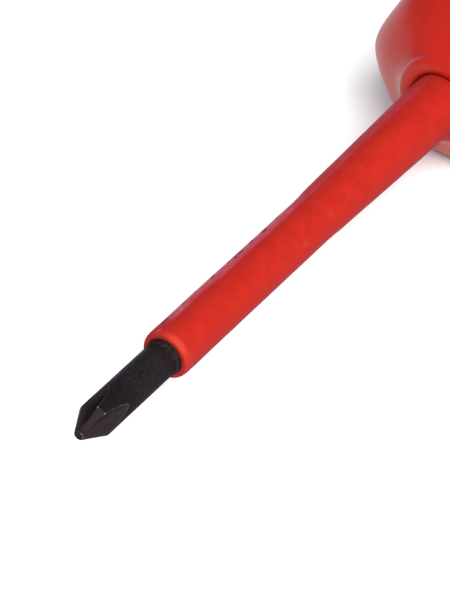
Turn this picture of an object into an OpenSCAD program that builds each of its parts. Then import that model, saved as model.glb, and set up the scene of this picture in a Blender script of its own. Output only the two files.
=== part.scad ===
// Insulated cross-tip screwdriver: a steel blade in a moulded insulating sleeve, with a
// multi-component handle. The tool's axis is +X from the tip to the handle's end, the origin is
// the centre of the tip's end flat, and +Z is up as the tool lies on a flat of its handle.

/* [Blade] */
// Diameter of the steel shank
shank_d = 4.5; // [4.2:0.1:4.8]
// Diameter of the flat at the end of the tip
tip_flat_d = 1.24; // [1.16:0.02:1.4]
// Half angle of the cone on the outside of the four wings, in degrees
tip_half_angle = 27; // [25:0.5:28]
// Distance from the axis at which the floor of each flute starts at the end flat
flute_root_r = 0.52; // [0.46:0.02:0.54]
// Width of the flat floor of a flute
flute_floor_w = 0.26; // [0.16:0.02:0.3]
// Slope of the flute's floor against the axis, in degrees
flute_slope = 6.5; // [5.5:0.25:7]
// Angle between the two flanks of a flute, in degrees
flute_angle = 88; // [86:1:94]
// Length of the flute's straight floor, from the end flat
flute_straight = 2.2; // [1.8:0.1:2.4]
// Radius of the run-out that the round cutter leaves
flute_runout_r = 13.8; // [12:0.2:15]
// Roll of the four wings about the axis, in degrees
wing_roll = 26; // [0:1:89]
// Length of the steel from the end flat to its hidden rear end
blade_len = 136; // [134:1:140]

/* [Insulating sleeve] */
// Distance from the end flat to the sleeve's front face
bare_len = 16.95; // [15:0.05:18]
// Outer diameter of the sleeve's straight part
sleeve_d = 6.4; // [6.2:0.1:6.6]
// Where the sleeve starts to thicken, from the end flat
sleeve_straight_end = 48.6; // [46:0.1:50]
// Length of the short ramp at the start of the thick part
sleeve_ramp = 3.8; // [3:0.1:5]
// Diameter after the ramp
sleeve_ramp_d = 6.74; // [6.6:0.02:7]
// Diameter where the sleeve enters the handle
sleeve_root_d = 8.1; // [7.8:0.1:8.4]
// Outer diameter of the bead of sealing compound in the sleeve's mouth
seal_d = 4.72; // [4.64:0.02:4.9]

/* [Handle] */
// Distance from the end flat to the handle's nose
handle_start = 80; // [79:0.5:82]
// Distance across the flats at the guard and across the palm pads
across_flats = 27; // [26.6:0.2:27.6]
// Share of the crest radius that is left at the middle of a flat
flat_share = 0.93; // [0.92:0.005:0.94]
// How far the soft pads stand above the hard shell
pad_proud = 0.3; // [0.2:0.05:0.4]
// Width of one palm pad
pad_w = 10; // [9.4:0.2:10.4]
// Length of one palm pad
pad_len = 45; // [42:1:46]
// Diameter of the hanging hole through the end cap
hang_hole_d = 5; // [4:0.2:5.4]

/* [Hidden] */
$fn = 96;
pads = 6;
pad_step = 360 / pads;
cut_margin = 1;
cut_far = 40;

shank_r = shank_d / 2;
tip_flat_r = tip_flat_d / 2;
tip_cone_len = (shank_r - tip_flat_r) / tan(tip_half_angle);
sleeve_r = sleeve_d / 2;
root_r = sleeve_root_d / 2;

// Hidden rear of the blade: swaged lugs, each with its start and its roll, and a chamfer
lug_starts = [[111, 0], [123, 90]];
lug_len = 8;
lug_reach = 3.8;
lug_t = 2.2;
lug_sink = 0.2;
rear_chamfer = 0.6;
flute_depth = 2.6;
tip_chamfer = 0.1;

// Sleeve details: the rounding of its front edge, the bead in its mouth, its hidden flange
nose_round_x = 1.1;
nose_round_r = 0.3;
seal_depth = 1;
seal_lip = 0.85;
ramp_end = sleeve_straight_end + sleeve_ramp;
ramp_rise = sleeve_ramp * (sleeve_root_d - sleeve_ramp_d) / 2 / (handle_start - ramp_end);
sleeve_end = 93;
flange_start = 86;
flange_end = 89;
flange_r = 5.6;

// Handle core: grooves that key the shell, and a barbed spigot that holds the end cap
core_start = 84;
core_r = 7.4;
groove_starts = [98, 140, 156];
groove_w = 4;
groove_depth = 0.7;
spigot_r = 6;
spigot_len = 6;
barb_r = 6.5;
barb_len = 1.6;

// Outside of the handle, as stations along it from its nose: [distance, crest radius as a share
// of the guard's, how far the six flats are cut there from 0 to 1]
guard_r = across_flats / 2 / flat_share;
belly = 1 - pad_proud / (across_flats / 2);
shell_len = 88;
stations = [
    [0, 0.38, 0], [2, 0.52, 0.1], [4.5, 0.78, 0.5], [7, 0.96, 0.9], [8.5, 1, 1], [11, 1, 1],
    [13, 0.92, 0.8], [16, 0.77, 0.3], [19, 0.7, 0], [24, 0.68, 0], [29, 0.73, 0.1],
    [36, 0.86, 0.6], [45, 0.955, 1], [56, belly, 1], [67, 0.96, 1], [78, 0.91, 1], [88, 0.87, 1]];
station_steps = 2;
flat_clear = 1;
finger_start = handle_start + 15.5;
finger_end = finger_start + 16;
finger_floor_r = 8.6;
pad_start = handle_start + 36.5;
pad_floor_r = 10.6;

// End cap: a dome from the shell's rear share of the guard's radius down to its end flat's
cap_start = handle_start + shell_len;
cap_len = 16;
cap_end = cap_start + cap_len;
cap_end_share = 0.43;
cap_share = 0.87;
cap_places = [0, 5, 9, 11.5, 13.5, 15, 15.8, 16];
cap_stations = [for (x = cap_places)
    [x, cap_end_share + (cap_share - cap_end_share) * pow(1 - pow(x / cap_len, 3), 0.6), 1]];
hang_hole_x = cap_start + 10.2;
disc_r = 4.6;
disc_t = 1.2;
cross_len = 5.6;
cross_w = 1.3;
cross_h = 0.3;

// Smooth curve through the stations: column c, at share t of the way from station i to the next
function slope_at(s, i, c) =
    let (a = max(i - 1, 0), b = min(i + 1, len(s) - 1))
    (s[b][c] - s[a][c]) / (s[b][0] - s[a][0]);
function hermite(a, b, ma, mb, t) =
    (2 * pow(t, 3) - 3 * t * t + 1) * a + (pow(t, 3) - 2 * t * t + t) * ma
    + (3 * t * t - 2 * pow(t, 3)) * b + (pow(t, 3) - t * t) * mb;
function smooth_at(s, i, c, t) =
    let (h = s[i + 1][0] - s[i][0])
    hermite(s[i][c], s[i + 1][c], h * slope_at(s, i, c), h * slope_at(s, i + 1, c), t);

// Outline of the handle's crest, or of its flats, as [x, height] points from the start. No share
// passes 0 or 1, which leaves a level land at the guard; uncut flats run clear of the crest.
function share_at(s, i, c, t) = max(0, min(1, smooth_at(s, i, c, t)));
function crest_height(s, i, t) = guard_r * share_at(s, i, 1, t);
function flat_height(s, i, t) =
    let (cut = share_at(s, i, 2, t))
    crest_height(s, i, t) * (1 - (1 - flat_share) * cut) + flat_clear * (1 - cut);
function outline(s, start, extra, is_flat) = [
    for (i = [0 : len(s) - 2]) for (k = [0 : station_steps - (i < len(s) - 2 ? 1 : 0)])
        let (t = k / station_steps)
        [start + s[i][0] + t * (s[i + 1][0] - s[i][0]),
            (is_flat ? flat_height(s, i, t) : crest_height(s, i, t)) + extra]];

// A solid of revolution about the tool's axis, from [x, radius] points
module turned(points) {
    rotate([0, 90, 0]) rotate_extrude() polygon([for (p = points) [p[1], p[0]]]);
}

// A round bar on the tool's axis
module bar(from, to, r) {
    translate([from, 0, 0]) rotate([0, 90, 0]) cylinder(h = to - from, r = r);
}

// The space between an outline and its mirror image, endless sideways: it cuts a pair of flats
module flat_pair(line) {
    last = len(line) - 1;
    rotate([90, 0, 0]) linear_extrude(height = 2 * cut_far, center = true)
        polygon(concat(line, [for (i = [0 : last]) [line[last - i][0], -line[last - i][1]]]));
}

// A body that is round where the flats fade out and a rounded hexagon where they are cut
module lobed(s, start, extra) {
    crest = outline(s, start, extra, false);
    flat = outline(s, start, extra, true);
    intersection() {
        turned(concat([[start, 0]], crest, [[crest[len(crest) - 1][0], 0]]));
        flat_pair(flat);
        rotate([pad_step, 0, 0]) flat_pair(flat);
        rotate([2 * pad_step, 0, 0]) flat_pair(flat);
    }
}

// ---- Blade ----

// One flute with sloping flanks: a straight floor that rises slowly, then the round cutter's run-out
module flute() {
    floor_w = flute_floor_w / 2;
    half_w = floor_w + flute_depth * tan(flute_angle / 2);
    root_end_z = flute_root_r + flute_straight * tan(flute_slope);
    translate([flute_straight, 0, root_end_z]) rotate([0, -flute_slope, 0]) {
        rotate([0, -90, 0]) linear_extrude(height = flute_straight + cut_margin)
            polygon([[0, -floor_w], [0, floor_w], [flute_depth, half_w], [flute_depth, -half_w]]);
        translate([0, 0, flute_runout_r]) rotate([90, 0, 0]) rotate_extrude()
            polygon([[flute_runout_r, -floor_w], [flute_runout_r, floor_w],
                [flute_runout_r - flute_depth, half_w], [flute_runout_r - flute_depth, -half_w]]);
    }
}

// A pair of swaged lugs: a short flat ear on each side of the shank
module lug_pair(place) {
    taper = lug_reach - shank_r;
    sunk = shank_r - lug_sink;
    ear = [[0, sunk], [taper, lug_reach], [lug_len - taper, lug_reach], [lug_len, sunk]];
    translate([place[0], 0, 0]) rotate([place[1], 0, 0])
        linear_extrude(height = lug_t, center = true)
            polygon(concat(ear, [for (i = [3 : -1 : 0]) [ear[i][0], -ear[i][1]]]));
}

module blade() {
    color([0.13, 0.12, 0.12]) {
        difference() {
            turned([[0, 0], [0, tip_flat_r - tip_chamfer],
                [tip_chamfer, tip_flat_r + tip_chamfer * tan(tip_half_angle)],
                [tip_cone_len, shank_r],
                [blade_len - rear_chamfer, shank_r], [blade_len, shank_r - rear_chamfer],
                [blade_len, 0]]);
            for (k = [0 : 3]) rotate([wing_roll + 45 + 90 * k, 0, 0]) flute();
        }
        for (place = lug_starts) lug_pair(place);
    }
}

// ---- Insulation ----

// The bead of compound: a lip on the shank in front of the sleeve, and the filled countersink
module mouth_seal() {
    color([0.1, 0.09, 0.09])
        turned([[bare_len - seal_lip, shank_r], [bare_len, seal_d / 2],
            [bare_len + seal_depth, shank_r]]);
}

// Rear stretch of the sleeve, shared with the pocket that the core is moulded around
flange_line = [[flange_start, root_r], [flange_start, flange_r], [flange_end, flange_r],
    [flange_end, root_r], [sleeve_end, root_r]];

// Outside of the sleeve: a rounded front edge, a straight tube, a ramp and a slow taper
sleeve_line = concat(
    [for (a = [0 : 15 : 90]) [bare_len + nose_round_x * (1 - cos(a)),
        sleeve_r - nose_round_r * (1 - sin(a))]],
    [for (t = [0 : 0.2 : 1]) [sleeve_straight_end + sleeve_ramp * t,
        hermite(sleeve_r, sleeve_ramp_d / 2, 0, ramp_rise, t)]],
    [[handle_start, root_r]], flange_line);

module blade_sleeve() {
    color([0.82, 0.13, 0.09])
        turned(concat([[bare_len + seal_depth, shank_r], [bare_len, seal_d / 2]],
            sleeve_line, [[sleeve_end, shank_r]]));
}

// ---- Handle ----

// The core's barbed spigot, shared with its socket in the end cap
spigot_line = [[cap_start, spigot_r], [cap_start + spigot_len - 2 * barb_len, spigot_r],
    [cap_start + spigot_len - barb_len, barb_r], [cap_start + spigot_len, spigot_r],
    [cap_start + spigot_len, 0]];

module handle_core() {
    grooves = [for (g = groove_starts) for (p = [[0, 0], [groove_depth, groove_depth],
        [groove_w - groove_depth, groove_depth], [groove_w, 0]]) [g + p[0], core_r - p[1]]];
    color([0.25, 0.25, 0.26])
        difference() {
            turned(concat([[core_start, 0], [core_start, core_r]], grooves,
                [[cap_start, core_r]], spigot_line));
            turned(concat([[core_start - cut_margin, 0], [core_start - cut_margin, root_r]],
                flange_line, [[sleeve_end, 0]]));
            turned([[core_start, 0], [core_start, shank_r], [blade_len - rear_chamfer, shank_r],
                [blade_len, shank_r - rear_chamfer], [blade_len, 0]]);
            for (place = lug_starts) lug_pair(place);
        }
}

// The space that one palm pad takes: long, with full round ends, down to its floor
module pad_space(k) {
    end_r = pad_w / 2;
    rotate([k * pad_step, 0, 0]) translate([pad_start + end_r, 0, pad_floor_r]) {
        translate([0, -end_r, 0]) cube([pad_len - pad_w, pad_w, cut_far]);
        for (x = [0, pad_len - pad_w]) translate([x, 0, 0]) cylinder(h = cut_far, r = end_r);
    }
}

module palm_pad(k) {
    color([0.09, 0.09, 0.1])
        intersection() {
            lobed(stations, handle_start, pad_proud);
            pad_space(k);
        }
}

// The space that the finger grip takes, from its floor outwards
module finger_space() {
    difference() {
        bar(finger_start, finger_end, cut_far);
        bar(finger_start - cut_margin, finger_end + cut_margin, finger_floor_r);
    }
}

module finger_grip() {
    color([0.09, 0.09, 0.1])
        intersection() {
            lobed(stations, handle_start, pad_proud);
            finger_space();
        }
}

module handle_shell() {
    color([0.8, 0.1, 0.07])
        difference() {
            lobed(stations, handle_start, 0);
            bar(core_start, cap_start + cut_margin, core_r);
            bar(handle_start - cut_margin, core_start + cut_margin, root_r);
            finger_space();
            for (k = [0 : pads - 1]) pad_space(k);
        }
}

module end_cap() {
    color([0.1, 0.1, 0.11])
        difference() {
            lobed(cap_stations, cap_start, 0);
            turned(concat([[cap_start - cut_margin, 0], [cap_start - cut_margin, spigot_r]],
                spigot_line));
            translate([hang_hole_x, 0, 0])
                cylinder(h = 2 * cut_far, d = hang_hole_d, center = true);
            bar(cap_end - disc_t, cap_end + cut_margin, disc_r);
        }
}

// Colour-coded disc in the cap's end, with the raised cross that stands for the tip's type
module size_disc() {
    color([0.9, 0.75, 0.1]) {
        bar(cap_end - disc_t, cap_end - cross_h, disc_r);
        for (a = [0, 90]) rotate([a, 0, 0])
            translate([cap_end - disc_t, -cross_len / 2, -cross_w / 2])
                cube([disc_t, cross_len, cross_w]);
    }
}

blade();
mouth_seal();
blade_sleeve();
handle_core();
handle_shell();
finger_grip();
for (k = [1 : pads]) palm_pad(k - 1);
end_cap();
size_disc();
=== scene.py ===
"""Looks of an insulated cross-tip screwdriver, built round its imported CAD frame.

Every outline is in millimetres along the tool's axis, x, with a roll about it in degrees. A roll
is counted from +Z towards -Y. Meshes are written in metres.
"""
import math

import bmesh
import bpy
import numpy as np
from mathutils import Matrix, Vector, noise


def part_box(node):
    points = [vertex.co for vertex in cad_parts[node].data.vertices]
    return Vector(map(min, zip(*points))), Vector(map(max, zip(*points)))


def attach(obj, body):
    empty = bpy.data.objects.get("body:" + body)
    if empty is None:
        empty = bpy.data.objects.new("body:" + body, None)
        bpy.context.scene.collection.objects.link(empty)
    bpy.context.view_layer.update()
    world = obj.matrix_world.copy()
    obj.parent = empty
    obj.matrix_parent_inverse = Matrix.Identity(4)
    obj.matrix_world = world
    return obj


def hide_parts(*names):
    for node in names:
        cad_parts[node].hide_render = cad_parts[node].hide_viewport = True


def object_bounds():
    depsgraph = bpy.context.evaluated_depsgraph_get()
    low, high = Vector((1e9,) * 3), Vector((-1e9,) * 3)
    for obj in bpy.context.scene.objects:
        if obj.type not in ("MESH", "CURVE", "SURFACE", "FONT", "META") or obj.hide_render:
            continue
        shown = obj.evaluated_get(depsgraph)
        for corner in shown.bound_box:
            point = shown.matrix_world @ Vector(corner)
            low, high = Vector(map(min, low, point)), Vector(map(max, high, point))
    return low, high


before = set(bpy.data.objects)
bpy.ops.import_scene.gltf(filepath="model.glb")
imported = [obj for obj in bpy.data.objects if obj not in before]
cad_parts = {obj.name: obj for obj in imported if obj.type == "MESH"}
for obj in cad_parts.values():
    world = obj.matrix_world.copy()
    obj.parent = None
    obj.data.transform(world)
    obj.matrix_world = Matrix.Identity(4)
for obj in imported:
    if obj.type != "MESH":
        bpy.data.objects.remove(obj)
cad_low, cad_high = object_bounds()
MM = 0.001
SPANS = {}


def span(node):
    """Where a CAD node starts and ends along the tool, in millimetres."""
    if node not in SPANS:
        low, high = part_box(node)
        SPANS[node] = (low.x / MM, high.x / MM)
    return SPANS[node]


# ---- Camera ----

# The camera looks down at the tip from its side, with its place and target in metres
CAMERA_PLACE = Vector((-0.1853, -0.1443, 0.2050))
CAMERA_TARGET = Vector((0.0297, 0.00001, 0.00001))
CAMERA_LENS = 165.3


def make_camera():
    """The photograph's view, with everything in focus."""
    data = bpy.data.cameras.new("camera")
    data.lens = CAMERA_LENS
    data.clip_start = 0.01
    data.clip_end = 20
    camera = bpy.data.objects.new("camera", data)
    camera.location = CAMERA_PLACE
    camera.rotation_mode = "QUATERNION"
    camera.rotation_quaternion = (CAMERA_TARGET - CAMERA_PLACE).to_track_quat("-Z", "Y")
    bpy.context.scene.collection.objects.link(camera)
    bpy.context.scene.camera = camera


make_camera()


# ---- Helpers for shapes ----

def smooth_max(a, b, blend):
    near = np.maximum(blend - np.abs(a - b), 0) / blend
    return np.maximum(a, b) + near * near * blend / 4


def smooth_min(a, b, blend):
    return -smooth_max(-a, -b, blend)


def smooth_step(low, high, value):
    t = np.clip((value - low) / (high - low), 0, 1)
    return t * t * (3 - 2 * t)


def at_roll(x, roll, radius):
    """Points at these places along the axis, rolls in degrees and radii."""
    x, roll, radius = np.broadcast_arrays(x, np.radians(roll), radius)
    return np.stack([x, -radius * np.sin(roll), radius * np.cos(roll)], axis=-1)


def beside(x, side, out, roll):
    """Points on a flat whose middle has this roll: out from the axis, and sideways along it."""
    x, side, out = np.broadcast_arrays(x, side, out)
    turn = math.radians(roll)
    return np.stack([x, -out * math.sin(turn) - side * math.cos(turn),
                     out * math.cos(turn) - side * math.sin(turn)], axis=-1)


def speckle(points, size):
    """Smooth noise, about -0.5 to 0.5, with features of this size in millimetres."""
    flat = np.asarray(points).reshape(-1, 3) / size
    return np.array([noise.noise(Vector(p)) for p in flat]).reshape(points.shape[:-1])


class Skin:
    """Sheets of points that become one closed mesh. Marks from 0 to 1 go with each point."""

    JOIN = 0.002 * MM

    def __init__(self):
        self.points = []
        self.marks = {"wear": [], "ground": [], "dirt": []}
        self.faces = []
        self.size = 0

    def sheet(self, grid, wrap=False, **marks):
        """Adds a grid of points, rows by columns. With wrap, the last column meets the first."""
        grid = np.asarray(grid, float)
        rows, columns = grid.shape[:2]
        index = self.size + np.arange(rows * columns).reshape(rows, columns)
        if wrap:
            index = np.hstack([index, index[:, :1]])
        corners = [index[:-1, :-1], index[:-1, 1:], index[1:, 1:], index[1:, :-1]]
        self.faces.append(np.stack(corners, axis=-1).reshape(-1, 4))
        self.points.append(grid.reshape(-1, 3))
        for name, values in self.marks.items():
            values.append(np.broadcast_to(marks.get(name, 0.0), grid.shape[:2]).reshape(-1))
        self.size += rows * columns

    def build(self, name, node, slot):
        """Joins the sheets and makes the piece that stands for a CAD node, in its slot's material."""
        mesh = bpy.data.meshes.new(name)
        points = np.concatenate(self.points) * MM
        mesh.from_pydata(points.tolist(), [], np.concatenate(self.faces).tolist())
        for mark, values in self.marks.items():
            layer = mesh.attributes.new(mark, "FLOAT", "POINT")
            layer.data.foreach_set("value", np.concatenate(values))
        work = bmesh.new()
        work.from_mesh(mesh)
        bmesh.ops.remove_doubles(work, verts=work.verts, dist=self.JOIN)
        bmesh.ops.recalc_face_normals(work, faces=work.faces)
        for face in work.faces:
            face.smooth = True
        work.to_mesh(mesh)
        work.free()
        mesh.materials.append(MATERIALS[slot])
        piece = bpy.data.objects.new(name, mesh)
        bpy.context.scene.collection.objects.link(piece)
        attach(piece, "root")
        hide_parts(node)
        return piece


# ---- Helpers for materials ----

class Paint:
    """A material and short ways to add nodes to it."""

    def __init__(self, name):
        self.material = bpy.data.materials.new(name)
        self.material.use_nodes = True
        self.tree = self.material.node_tree
        self.shader = self.tree.nodes["Principled BSDF"]
        self.place = self.add("ShaderNodeTexCoord").outputs["Object"]

    def add(self, kind, **settings):
        node = self.tree.nodes.new(kind)
        for key, value in settings.items():
            setattr(node, key, value)
        return node

    def put(self, socket, value):
        """Sets a socket to a value, or links it to another node's output."""
        if isinstance(value, bpy.types.NodeSocket):
            self.tree.links.new(value, socket)
        else:
            socket.default_value = value

    def stretched(self, x, y, z):
        """Object coordinates scaled on each axis, so that noise runs in streaks."""
        node = self.add("ShaderNodeVectorMath", operation="MULTIPLY")
        self.put(node.inputs[0], self.place)
        node.inputs[1].default_value = (x, y, z)
        return node.outputs[0]

    def noise(self, size, detail=4.0, roughness=0.55, vector=None):
        """Noise from 0 to 1 with features of this size in millimetres."""
        node = self.add("ShaderNodeTexNoise")
        self.put(node.inputs["Vector"], vector or self.place)
        node.inputs["Scale"].default_value = 1 / (size * MM)
        node.inputs["Detail"].default_value = detail
        node.inputs["Roughness"].default_value = roughness
        return node.outputs["Fac"]

    def ramp(self, value, low, high, out_low=0.0, out_high=1.0):
        """Turns the range low to high into out_low to out_high, smoothly, and clamps it."""
        node = self.add("ShaderNodeMapRange", interpolation_type="SMOOTHSTEP")
        self.put(node.inputs["Value"], value)
        node.inputs["From Min"].default_value = low
        node.inputs["From Max"].default_value = high
        node.inputs["To Min"].default_value = out_low
        node.inputs["To Max"].default_value = out_high
        return node.outputs["Result"]

    def math(self, operation, a, b=0.0):
        node = self.add("ShaderNodeMath", operation=operation)
        self.put(node.inputs[0], a)
        self.put(node.inputs[1], b)
        return node.outputs[0]

    def plus(self, a, b):
        return self.math("ADD", a, b)

    def times(self, a, b):
        return self.math("MULTIPLY", a, b)

    def larger(self, a, b):
        return self.math("MAXIMUM", a, b)

    def mix(self, share, a, b):
        """Mixes two colours."""
        node = self.add("ShaderNodeMix", data_type="RGBA")
        self.put(node.inputs[0], share)
        self.put(node.inputs[6], a)
        self.put(node.inputs[7], b)
        return node.outputs[2]

    def mark(self, name):
        """One of the marks that a skin's points carry."""
        return self.add("ShaderNodeAttribute", attribute_name=name).outputs["Fac"]

    def part_of_place(self, axis):
        node = self.add("ShaderNodeSeparateXYZ")
        self.put(node.inputs[0], self.place)
        return node.outputs[axis]

    def along(self):
        """Distance from the tip, in millimetres."""
        return self.math("DIVIDE", self.part_of_place("X"), MM)

    def roll(self):
        """Roll about the axis, in degrees."""
        side = self.times(self.part_of_place("Y"), -1.0)
        return self.math("DEGREES", self.math("ARCTAN2", side, self.part_of_place("Z")))

    def bump(self, height, distance, strength):
        """A bump whose full height is this distance in millimetres."""
        node = self.add("ShaderNodeBump")
        node.inputs["Strength"].default_value = strength
        node.inputs["Distance"].default_value = distance * MM
        self.put(node.inputs["Height"], height)
        return node.outputs["Normal"]

    def finish(self, **sockets):
        """Sets the shader's sockets, named with underscores for spaces."""
        for key, value in sockets.items():
            self.put(self.shader.inputs[key.replace("_", " ")], value)
        return self.material


def shade(red, green, blue):
    """An opaque colour, in linear light."""
    return (red, green, blue, 1.0)


# ---- Materials ----

# Blade: oxide, its oiled front, the ground faces, what wear and dirt leave, and painted shade deep in
# the flutes
OXIDE_VIOLET = shade(0.0074, 0.0049, 0.0071)
OXIDE_GREY = shade(0.0132, 0.0103, 0.0121)
OXIDE_GREEN = shade(0.0105, 0.0096, 0.0082)
OXIDE_STREAK = shade(0.019, 0.0157, 0.0176)
OXIDE_GRAIN = shade(0.027, 0.022, 0.025)
OXIDE_OILED = shade(0.0062, 0.0042, 0.0055)
OIL_START, OIL_END = 6.5, 10
CUT_DARK = shade(0.0125, 0.0085, 0.009)
CUT_PALE = shade(0.025, 0.019, 0.019)
# Black for the end flat's dirt and for painted shade in the flutes
BLADE_DIRT_AND_SHADE = shade(0.0054, 0.0034, 0.0046)
TIP_STAIN = shade(0.0165, 0.0062, 0.0066)
STAIN_FULL, STAIN_END = 0.05, 0.6
OXIDE_WORN = shade(0.05, 0.043, 0.042)
BARE_STEEL = shade(0.24, 0.23, 0.23)
# Sealing compound: where its smear on the steel starts and is full, and how far that wanders
COMPOUND_START, COMPOUND_FULL = 14.3, 15.6
COMPOUND_WANDER = 2.4
COMPOUND_BLACK = shade(0.0095, 0.0058, 0.006)
SMEAR_DUST = shade(0.07, 0.056, 0.054)
BEAD_DUST = shade(0.085, 0.067, 0.062)


def dark_steel():
    """Black oxide: mottled on the shank, browner where it was ground, rubbed bright on edges, with
    painted shade deep in the flutes.
    """
    paint = Paint("dark_steel")
    along = paint.along()
    streaks = paint.noise(0.5, vector=paint.stretched(0.2, 1, 1))
    cloud = paint.noise(1.5, detail=5, roughness=0.65)
    mottle = paint.noise(0.4, detail=3, roughness=0.55)
    grain = paint.noise(0.12, detail=3, roughness=0.7)
    oxide = paint.mix(paint.ramp(mottle, 0.38, 0.62), OXIDE_VIOLET, OXIDE_GREY)
    oxide = paint.mix(paint.ramp(cloud, 0.46, 0.58, 0, 0.55), oxide, OXIDE_GREEN)
    oxide = paint.mix(paint.ramp(streaks, 0.55, 0.8, 0, 0.3), oxide, OXIDE_STREAK)
    oxide = paint.mix(paint.ramp(grain, 0.52, 0.68, 0, 0.5), oxide, OXIDE_GRAIN)
    oxide = paint.mix(paint.ramp(along, OIL_END, OIL_START, 0, 0.55), oxide, OXIDE_OILED)
    cut = paint.mix(paint.ramp(grain, 0.4, 0.62), CUT_DARK, CUT_PALE)
    colour = paint.mix(paint.mark("ground"), oxide, cut)
    # Dirt on the end flat, and painted shade deep in the flutes
    colour = paint.mix(paint.mark("dirt"), colour, BLADE_DIRT_AND_SHADE)
    colour = paint.mix(paint.ramp(along, STAIN_END, STAIN_FULL, 0, 0.42), colour, TIP_STAIN)
    rubbed = paint.times(paint.mark("wear"), paint.ramp(paint.noise(0.6), 0.35, 0.6, 0.5, 1))
    colour = paint.mix(paint.ramp(rubbed, 0.12, 0.4, 0, 0.6), colour, OXIDE_WORN)
    colour = paint.mix(paint.ramp(rubbed, 0.45, 0.85), colour, BARE_STEEL)
    smear_edge = paint.plus(along, paint.times(paint.noise(0.7), COMPOUND_WANDER))
    mean = COMPOUND_WANDER / 2
    smear = paint.ramp(smear_edge, COMPOUND_START + mean, COMPOUND_FULL + mean)
    dust = paint.ramp(paint.noise(0.12, detail=1), 0.6, 0.7, 0, 0.35)
    colour = paint.mix(smear, colour, paint.mix(dust, COMPOUND_BLACK, SMEAR_DUST))
    patchy = paint.ramp(cloud, 0.3, 0.7, 0.34, 0.46)
    rough = paint.plus(patchy, paint.ramp(paint.roll(), -20, 30, 0, 0.2))
    coarse = paint.times(grain, paint.plus(smear, 0.22))
    return paint.finish(
        Base_Color=colour,
        Specular_IOR_Level=0.014,
        Roughness=paint.larger(rough, paint.times(smear, 0.75)),
        Normal=paint.bump(paint.plus(paint.times(streaks, 0.3), coarse), 0.04, 0.8))


def seal_compound():
    """Dull black compound with pale dust on it."""
    paint = Paint("seal_compound")
    dust = paint.ramp(paint.noise(0.12, detail=1), 0.61, 0.68, 0, 0.75)
    lumps = paint.noise(0.2, detail=3)
    return paint.finish(
        Base_Color=paint.mix(dust, COMPOUND_BLACK, BEAD_DUST),
        Roughness=paint.ramp(lumps, 0.3, 0.7, 0.65, 0.9),
        Specular_IOR_Level=0.05,
        Normal=paint.bump(lumps, 0.08, 0.9))


# Sleeve: its two main reds and the red of its grain, a painted highlight on its front edge, painted
# shade on its front face and on three stretches round it, a painted reflection on the rubbed side,
# scuffs and dirt
RED_DEEP = shade(0.292, 0.0122, 0.0074)
RED_CLEAR = shade(0.338, 0.0155, 0.0094)
RED_GRAIN = shade(0.29, 0.0095, 0.0055)
RED_RIM_HIGHLIGHT = shade(0.4, 0.046, 0.025)
RED_FACE_SHADE = shade(0.26, 0.013, 0.0085)
RED_SPECK = shade(0.4, 0.1, 0.08)
RED_UPPER_SHADE = shade(0.24, 0.013, 0.01)
RED_LOWER_SHADE = shade(0.26, 0.0145, 0.0098)
RED_UNDER_SHADE = shade(0.215, 0.016, 0.024)
RUBBED_SIDE_REFLECTION = shade(0.36, 0.037, 0.057)
SCUFF_PINK = shade(0.5, 0.24, 0.27)
SLEEVE_DIRT_AND_SHADE = shade(0.075, 0.008, 0.026)
# Rolls over which the sleeve's rubbing and its painted reflection fade in from each side, and how far
# that edge wanders
RUBBED_ROLLS = ((4, -5), (-110, -90))
RUBBED_WANDER = 24
# Where the rubbing and its painted reflection fade out along the tool
RUBBED_FADE = (42, 53)


def sleeve_rim_highlight(paint, back, roll):
    """How much painted highlight, a paler red, the front edge gets, narrow on top and broad below.
    Back is the distance behind the sleeve's front face."""
    narrow = paint.ramp(back, 1.15, 0.5, 0, 0.62)
    upper = paint.times(paint.ramp(roll, -20, 25, 0.3, 1), paint.ramp(roll, 90, 50))
    broad = paint.ramp(back, 2.4, 0.5, 0, 0.35)
    return paint.larger(paint.times(narrow, upper), paint.times(broad, paint.ramp(roll, 50, 85)))


def sleeve_rubbing_and_reflection(paint, along, back, roll):
    """How far the sleeve is rubbed smooth and carries a painted reflection, inside a band of rolls with
    a wandering edge.
    """
    wander = paint.times(paint.noise(2.2, vector=paint.stretched(0.4, 1, 1)), RUBBED_WANDER)
    edge = paint.plus(roll, wander)
    upper, lower = RUBBED_ROLLS
    band = paint.times(paint.ramp(edge, *upper), paint.ramp(edge, *lower))
    near_end = paint.ramp(back, 1.5, 5, 0.1, 1)
    far_end = paint.ramp(along, *RUBBED_FADE, 1, 0.35)
    return paint.times(band, paint.times(near_end, far_end))


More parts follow.
